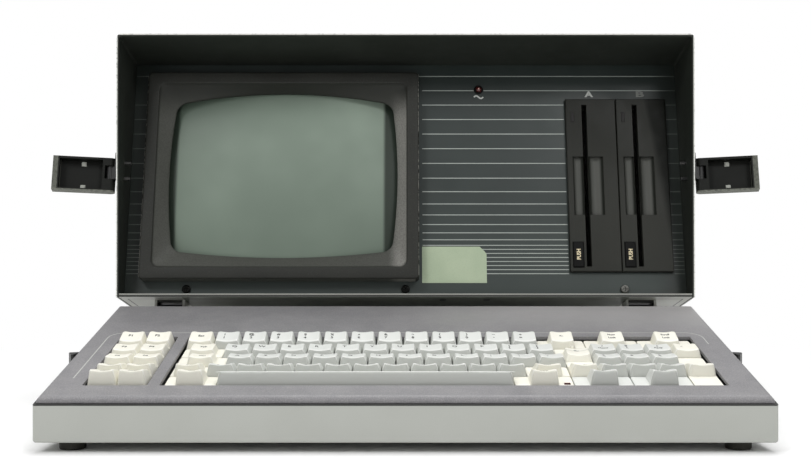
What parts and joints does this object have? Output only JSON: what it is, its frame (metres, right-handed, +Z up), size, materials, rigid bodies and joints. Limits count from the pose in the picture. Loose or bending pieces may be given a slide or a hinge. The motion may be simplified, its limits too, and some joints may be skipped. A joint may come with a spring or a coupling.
{
  "type": "vintage luggable computer",
  "caption": "Luggable computer: slanted-mouth case with screen and two disk drives on a fold-down stand, and a wedge keyboard that latches on as its lid.",
  "frame": {"origin": "middle of the footprint on the table", "axes": "+X to the right as the user sees it, +Y away from the user, +Z up"},
  "size_m": [0.5594, 0.5626, 0.2933],
  "materials": {
    "cover_paint": "light grey stove enamel outside, matt black inside the hood",
    "pan_paint": "light grey stove enamel, fine texture",
    "inner_sheet": "zinc plated folded sheet",
    "panel_print": "dark slate paint with fine pale printed lines",
    "black_moulding": "dark charcoal moulding, fine spark texture",
    "black_steel": "black paint, edges worn",
    "screen_glass": "grey green phosphor behind clear glass",
    "copper_coil": "lacquered copper winding",
    "circuit_board": "green solder mask with dark components",
    "socket_shell": "plated socket shells",
    "drive_casting": "cast chassis",
    "red_lamp": "dark red lens",
    "screw_steel": "blackened and bright screws",
    "rubber_foot": "dark rubber",
    "paper_label": "faded green paper, blank",
    "key_plate": "mid grey, fine texture",
    "cream_key": "cream, fine texture",
    "grey_key": "pale grey, fine texture"
  },
  "bodies": {
    "main_unit": {"outer_cover": "cover_paint", "bottom_pan": "cover_paint", "front_panel": "panel_print", "rear_panel": "cover_paint", "bulkhead": "inner_sheet", "crt_bezel": "black_moulding", "crt_tube": "screen_glass", "crt_band": "inner_sheet", "deflection_yoke": "copper_coil", "neck_board": "circuit_board", "monitor_board": "circuit_board", "power_supply": "inner_sheet", "main_board": "circuit_board", "expansion_cards": "circuit_board", "rear_sockets": "socket_shell", "mains_inlet": "black_moulding", "brightness_control": "inner_sheet", "fan_housing": "black_moulding", "speaker": "black_steel", "drive_cage": "inner_sheet", "drive_a_face": "black_moulding", "drive_b_face": "black_moulding", "drive_a_body": "drive_casting", "drive_b_body": "drive_casting", "indicator_lamps": "red_lamp", "panel_screws": "screw_steel", "cover_screws": "screw_steel", "latch_brackets": "black_steel", "stand_brackets": "black_steel", "handle_brackets": "black_steel", "rear_feet": "rubber_foot", "paper_sticker": "paper_label"},
    "latch_left": {"latch_left": "black_moulding"},
    "latch_right": {"latch_right": "black_moulding"},
    "front_stand": {"front_stand": "black_steel"},
    "carry_handle": {"carry_handle": "black_moulding"},
    "fan_rotor": {"fan_rotor": "black_moulding"},
    "power_switch": {"power_switch": "black_moulding"},
    "brightness_knob": {"brightness_knob": "black_moulding"},
    "drive_a_button": {"drive_a_button": "black_moulding"},
    "drive_b_button": {"drive_b_button": "black_moulding"},
    "keyboard": {"keyboard_pan": "pan_paint", "keyboard_plate": "key_plate", "switch_board": "black_steel", "keyboard_feet": "rubber_foot", "keyboard_catches": "black_steel", "cable_socket": "black_moulding"},
    "function_keys": {"function_keys": "cream_key"},
    "number_keys": {"number_keys": "grey_key"},
    "upper_letter_keys": {"upper_letter_keys": "grey_key"},
    "home_letter_keys": {"home_letter_keys": "grey_key"},
    "lower_letter_keys": {"lower_letter_keys": "grey_key"},
    "keypad_keys": {"keypad_keys": "grey_key"},
    "shift_keys": {"shift_keys": "cream_key"},
    "control_keys": {"control_keys": "cream_key"},
    "caps_lock_key": {"caps_lock_key": "cream_key", "caps_lamp": "red_lamp"},
    "space_bar": {"space_bar": "grey_key"},
    "enter_key": {"enter_key": "cream_key"},
    "plus_key": {"plus_key": "cream_key"}
  },
  "joints": [
    {"name": "latch_left_hinge", "type": "hinge", "parent": "main_unit", "child": "latch_left", "pos_m": [-0.2356, -0.0717, 0.18107], "axis": [0, 0.2233, 0.9748], "range_deg": [0, 80]},
    {"name": "latch_right_hinge", "type": "hinge", "parent": "main_unit", "child": "latch_right", "pos_m": [0.2356, -0.0717, 0.18107], "axis": [0, 0.2233, 0.9748], "range_deg": [-80, 0]},
    {"name": "stand_fold", "type": "hinge", "parent": "main_unit", "child": "front_stand", "pos_m": [0, -0.05952, 0.07302], "axis": [1, 0, 0], "range_deg": [0, 83]},
    {"name": "handle_swing", "type": "hinge", "parent": "main_unit", "child": "carry_handle", "pos_m": [0, 0.27394, 0.12899], "axis": [1, 0, 0], "range_deg": [-12.5, 80]},
    {"name": "fan_spin", "type": "hinge", "parent": "main_unit", "child": "fan_rotor", "pos_m": [-0.03, 0.25844, 0.16434], "axis": [0, 0.9748, -0.2233], "continuous": true},
    {"name": "power_switch_rock", "type": "hinge", "parent": "main_unit", "child": "power_switch", "pos_m": [-0.1745, 0.24266, 0.04793], "axis": [1, 0, 0], "range_deg": [0, 12]},
    {"name": "brightness_turn", "type": "hinge", "parent": "main_unit", "child": "brightness_knob", "pos_m": [-0.048, 0.2467, 0.05931], "axis": [0, 0.9748, -0.2233], "range_deg": [0, 270]},
    {"name": "drive_a_button_push", "type": "slide", "parent": "main_unit", "child": "drive_a_button", "axis": [0, 0.9748, -0.2233], "range_m": [0, 0.0025], "stiffness_N_per_m": 400, "springref_m": -0.002},
    {"name": "drive_b_button_push", "type": "slide", "parent": "main_unit", "child": "drive_b_button", "axis": [0, 0.9748, -0.2233], "range_m": [0, 0.0025], "stiffness_N_per_m": 400, "springref_m": -0.002},
    {"name": "keyboard_draw", "type": "slide", "parent": "main_unit", "child": "keyboard", "axis": [0, -1, 0], "range_m": [0, 0.25]},
    {"name": "function_keys_press", "type": "slide", "parent": "keyboard", "child": "function_keys", "axis": [0, -0.2164, 0.9763], "range_m": [-0.0035, 0], "stiffness_N_per_m": 1250, "springref_m": 0.002},
    {"name": "number_keys_press", "type": "slide", "parent": "keyboard", "child": "number_keys", "axis": [0, -0.2164, 0.9763], "range_m": [-0.0035, 0], "stiffness_N_per_m": 1500, "springref_m": 0.002},
    {"name": "upper_letter_keys_press", "type": "slide", "parent": "keyboard", "child": "upper_letter_keys", "axis": [0, -0.2164, 0.9763], "range_m": [-0.0035, 0], "stiffness_N_per_m": 1500, "springref_m": 0.002},
    {"name": "home_letter_keys_press", "type": "slide", "parent": "keyboard", "child": "home_letter_keys", "axis": [0, -0.2164, 0.9763], "range_m": [-0.0035, 0], "stiffness_N_per_m": 1500, "springref_m": 0.002},
    {"name": "lower_letter_keys_press", "type": "slide", "parent": "keyboard", "child": "lower_letter_keys", "axis": [0, -0.2164, 0.9763], "range_m": [-0.0035, 0], "stiffness_N_per_m": 1375, "springref_m": 0.002},
    {"name": "keypad_keys_press", "type": "slide", "parent": "keyboard", "child": "keypad_keys", "axis": [0, -0.2164, 0.9763], "range_m": [-0.0035, 0], "stiffness_N_per_m": 1375, "springref_m": 0.002},
    {"name": "shift_keys_press", "type": "slide", "parent": "keyboard", "child": "shift_keys", "axis": [0, -0.2164, 0.9763], "range_m": [-0.0035, 0], "stiffness_N_per_m": 250, "springref_m": 0.002},
    {"name": "control_keys_press", "type": "slide", "parent": "keyboard", "child": "control_keys", "axis": [0, -0.2164, 0.9763], "range_m": [-0.0035, 0], "stiffness_N_per_m": 1125, "springref_m": 0.002},
    {"name": "caps_lock_key_press", "type": "slide", "parent": "keyboard", "child": "caps_lock_key", "axis": [0, -0.2164, 0.9763], "range_m": [-0.0035, 0], "stiffness_N_per_m": 125, "springref_m": 0.002},
    {"name": "space_bar_press", "type": "slide", "parent": "keyboard", "child": "space_bar", "axis": [0, -0.2164, 0.9763], "range_m": [-0.0035, 0], "stiffness_N_per_m": 375, "springref_m": 0.002},
    {"name": "enter_key_press", "type": "slide", "parent": "keyboard", "child": "enter_key", "axis": [0, -0.2164, 0.9763], "range_m": [-0.0035, 0], "stiffness_N_per_m": 250, "springref_m": 0.002},
    {"name": "plus_key_press", "type": "slide", "parent": "keyboard", "child": "plus_key", "axis": [0, -0.2164, 0.9763], "range_m": [-0.0035, 0], "stiffness_N_per_m": 250, "springref_m": 0.002}
  ]
}
